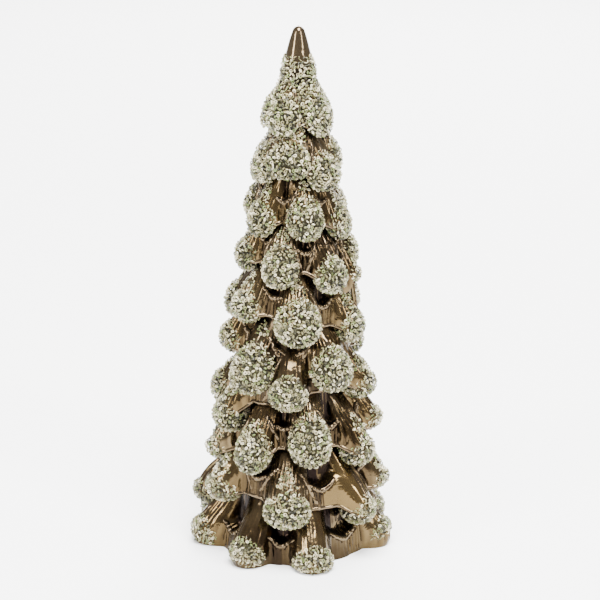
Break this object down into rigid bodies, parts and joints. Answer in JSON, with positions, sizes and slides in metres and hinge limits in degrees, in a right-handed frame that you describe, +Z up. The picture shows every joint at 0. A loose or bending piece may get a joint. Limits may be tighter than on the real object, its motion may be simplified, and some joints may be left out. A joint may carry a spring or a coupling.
{
  "type": "decorative glass tree",
  "caption": "Hollow blown-glass tabletop tree, open at its flat foot, with scale-like boughs, glass bead crusts glued on their tips, and a bare pointed spire.",
  "frame": {"origin": "centre of the foot's flat face, on the tree's axis, at the level of the surface it stands on", "axes": "+Z up along the tree's axis to the spire, -Y to the front that the picture shows, +X to its right"},
  "size_m": [0.1054, 0.1067, 0.27],
  "materials": {
    "bronze_glass": "glossy silvered brown glass with a soft bronze lustre",
    "bead_glass": "pale champagne glass seed beads with silvery sparkle and greenish tints"
  },
  "bodies": {
    "root": {"glass_body": "bronze_glass", "bead_cap_1_1": "bead_glass", "bead_cap_1_2": "bead_glass", "bead_cap_1_3": "bead_glass", "bead_cap_1_4": "bead_glass", "bead_cap_1_5": "bead_glass", "bead_cap_1_6": "bead_glass", "bead_cap_1_7": "bead_glass", "bead_cap_1_8": "bead_glass", "bead_cap_2_1": "bead_glass", "bead_cap_2_2": "bead_glass", "bead_cap_2_3": "bead_glass", "bead_cap_2_4": "bead_glass", "bead_cap_2_5": "bead_glass", "bead_cap_2_6": "bead_glass", "bead_cap_2_7": "bead_glass", "bead_cap_2_8": "bead_glass", "bead_cap_3_1": "bead_glass", "bead_cap_3_2": "bead_glass", "bead_cap_3_3": "bead_glass", "bead_cap_3_4": "bead_glass", "bead_cap_3_5": "bead_glass", "bead_cap_3_6": "bead_glass", "bead_cap_3_7": "bead_glass", "bead_cap_3_8": "bead_glass", "bead_cap_4_1": "bead_glass", "bead_cap_4_2": "bead_glass", "bead_cap_4_3": "bead_glass", "bead_cap_4_4": "bead_glass", "bead_cap_4_5": "bead_glass", "bead_cap_4_6": "bead_glass", "bead_cap_4_7": "bead_glass", "bead_cap_5_1": "bead_glass", "bead_cap_5_2": "bead_glass", "bead_cap_5_3": "bead_glass", "bead_cap_5_4": "bead_glass", "bead_cap_5_5": "bead_glass", "bead_cap_5_6": "bead_glass", "bead_cap_6_1": "bead_glass", "bead_cap_6_2": "bead_glass", "bead_cap_6_3": "bead_glass", "bead_cap_6_4": "bead_glass", "bead_cap_6_5": "bead_glass", "bead_cap_6_6": "bead_glass", "bead_cap_6_7": "bead_glass", "bead_cap_6_8": "bead_glass", "bead_cap_7_1": "bead_glass", "bead_cap_7_2": "bead_glass", "bead_cap_7_3": "bead_glass", "bead_cap_7_4": "bead_glass", "bead_cap_7_5": "bead_glass", "bead_cap_7_6": "bead_glass", "bead_cap_8_1": "bead_glass", "bead_cap_8_2": "bead_glass", "bead_cap_8_3": "bead_glass", "bead_cap_8_4": "bead_glass", "bead_cap_8_5": "bead_glass", "bead_cap_8_6": "bead_glass", "bead_ring": "bead_glass", "bead_crown": "bead_glass"}
  },
  "joints": []
}
